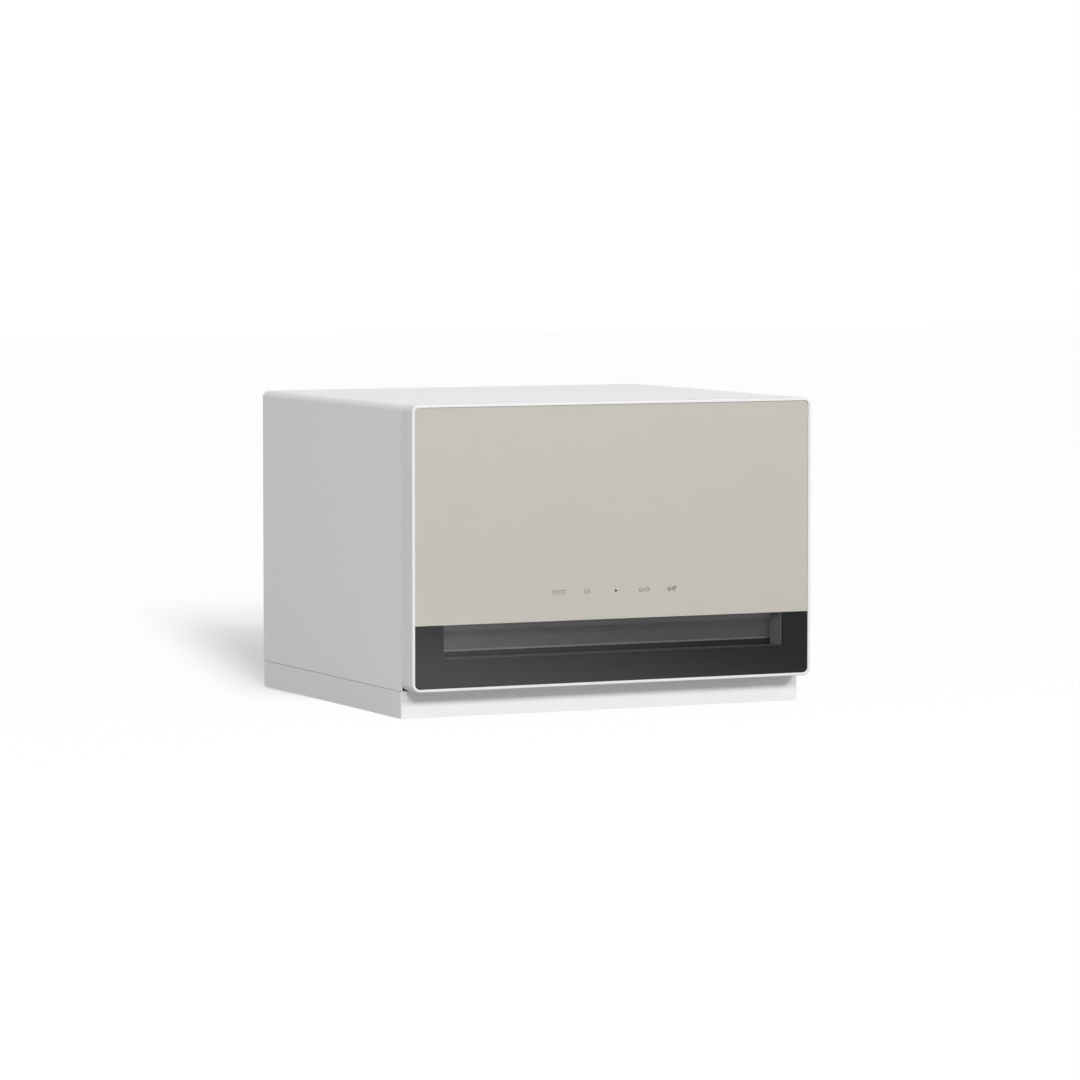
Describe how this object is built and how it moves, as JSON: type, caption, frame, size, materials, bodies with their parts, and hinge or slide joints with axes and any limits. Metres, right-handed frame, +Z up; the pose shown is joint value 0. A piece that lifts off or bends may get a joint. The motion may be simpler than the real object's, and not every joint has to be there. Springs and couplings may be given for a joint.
{
  "type": "uv sterilizer dryer",
  "caption": "Countertop sterilizer and dryer, a box whose glass-fronted drawer slides forward out of a mirrored chamber.",
  "frame": {"origin": "under the middle of the closed appliance, on the surface it stands on", "axes": "+X to the right seen from the front, +Y from the drawer front to the back, +Z up"},
  "size_m": [0.44, 0.392, 0.3115],
  "materials": {
    "shell_white": "satin powder coat",
    "base_white": "fine satin moulding",
    "front_white": "semi gloss moulding",
    "dark_plastic": "fine texture",
    "glass_clear": "polished",
    "print_pale": "print behind glass",
    "print_smoke": "print behind glass",
    "cover_white": "fine texture",
    "stainless": "brushed",
    "mirror_steel": "bright annealed",
    "zinc_steel": "zinc plated",
    "ball_steel": "polished",
    "lens_grey": "polished",
    "rubber_dark": "matt",
    "silicone_grey": "satin",
    "circuit_green": "solder mask",
    "heater_metal": "plain",
    "duct_plastic": "moulded",
    "filter_fleece": "fleece",
    "contact_brass": "plated"
  },
  "bodies": {
    "cabinet": {"base_pan": "base_white", "feet": "rubber_dark", "base_screws": "zinc_steel", "outer_shell": "shell_white", "rear_panel": "base_white", "rear_screws": "zinc_steel", "intake_filter": "filter_fleece", "power_inlet": "dark_plastic", "chassis_deck": "zinc_steel", "front_bezel": "dark_plastic", "latch_plates": "zinc_steel", "reed_switch": "dark_plastic", "chamber_liner": "mirror_steel", "bulkhead": "zinc_steel", "lamp_housings": "cover_white", "lamp_boards": "circuit_green", "lamp_lenses": "glass_clear", "blower_housing": "duct_plastic", "blower_motor": "zinc_steel", "heater_housing": "duct_plastic", "heater_block": "heater_metal", "air_duct": "duct_plastic", "board_spacers": "contact_brass", "main_board": "circuit_green", "power_supply": "circuit_green", "contact_pins": "contact_brass", "slide_outer_left": "zinc_steel", "slide_outer_right": "zinc_steel"},
    "middle_rails": {"slide_middle_left": "zinc_steel", "slide_middle_right": "zinc_steel"},
    "outer_cages": {"ball_cage_outer_left": "ball_steel", "ball_cage_outer_right": "ball_steel"},
    "inner_cages": {"ball_cage_inner_left": "ball_steel", "ball_cage_inner_right": "ball_steel"},
    "drawer": {"slide_inner_left": "zinc_steel", "slide_inner_right": "zinc_steel", "drawer_tray": "stainless", "tray_gussets": "zinc_steel", "contact_plate": "contact_brass", "front_frame": "front_white", "front_glass": "glass_clear", "pale_print": "print_pale", "smoke_print": "print_smoke", "window_tunnel": "dark_plastic", "inner_pane": "glass_clear", "inner_cover": "cover_white", "cover_screws": "zinc_steel", "tray_screws": "zinc_steel", "door_seal": "silicone_grey", "closing_magnets": "zinc_steel", "touch_board": "circuit_green", "touch_pads": "rubber_dark", "status_lens": "lens_grey"},
    "filter_door": {"filter_cover": "base_white"},
    "blower_rotor": {"blower_impeller": "duct_plastic"}
  },
  "joints": [
    {"name": "drawer_slide", "type": "slide", "parent": "cabinet", "child": "drawer", "axis": [0, -1, 0], "range_m": [0, 0.28]},
    {"name": "middle_rail_slide", "type": "slide", "parent": "cabinet", "child": "middle_rails", "axis": [0, -1, 0], "range_m": [0, 0.14]},
    {"name": "outer_cage_slide", "type": "slide", "parent": "cabinet", "child": "outer_cages", "axis": [0, -1, 0], "range_m": [0, 0.07]},
    {"name": "inner_cage_slide", "type": "slide", "parent": "cabinet", "child": "inner_cages", "axis": [0, -1, 0], "range_m": [0, 0.21]},
    {"name": "filter_door_hinge", "type": "hinge", "parent": "cabinet", "child": "filter_door", "pos_m": [-0.095, 0.1945, 0.1498], "axis": [-1, 0, 0], "range_deg": [0, 90]},
    {"name": "blower_spin", "type": "hinge", "parent": "cabinet", "child": "blower_rotor", "pos_m": [-0.095, 0.16, 0.19], "axis": [0, 1, 0], "continuous": true}
  ],
  "couplings": [
    {"joint": "middle_rail_slide", "follows": "drawer_slide", "ratio": 0.5},
    {"joint": "outer_cage_slide", "follows": "drawer_slide", "ratio": 0.25},
    {"joint": "inner_cage_slide", "follows": "drawer_slide", "ratio": 0.75}
  ]
}
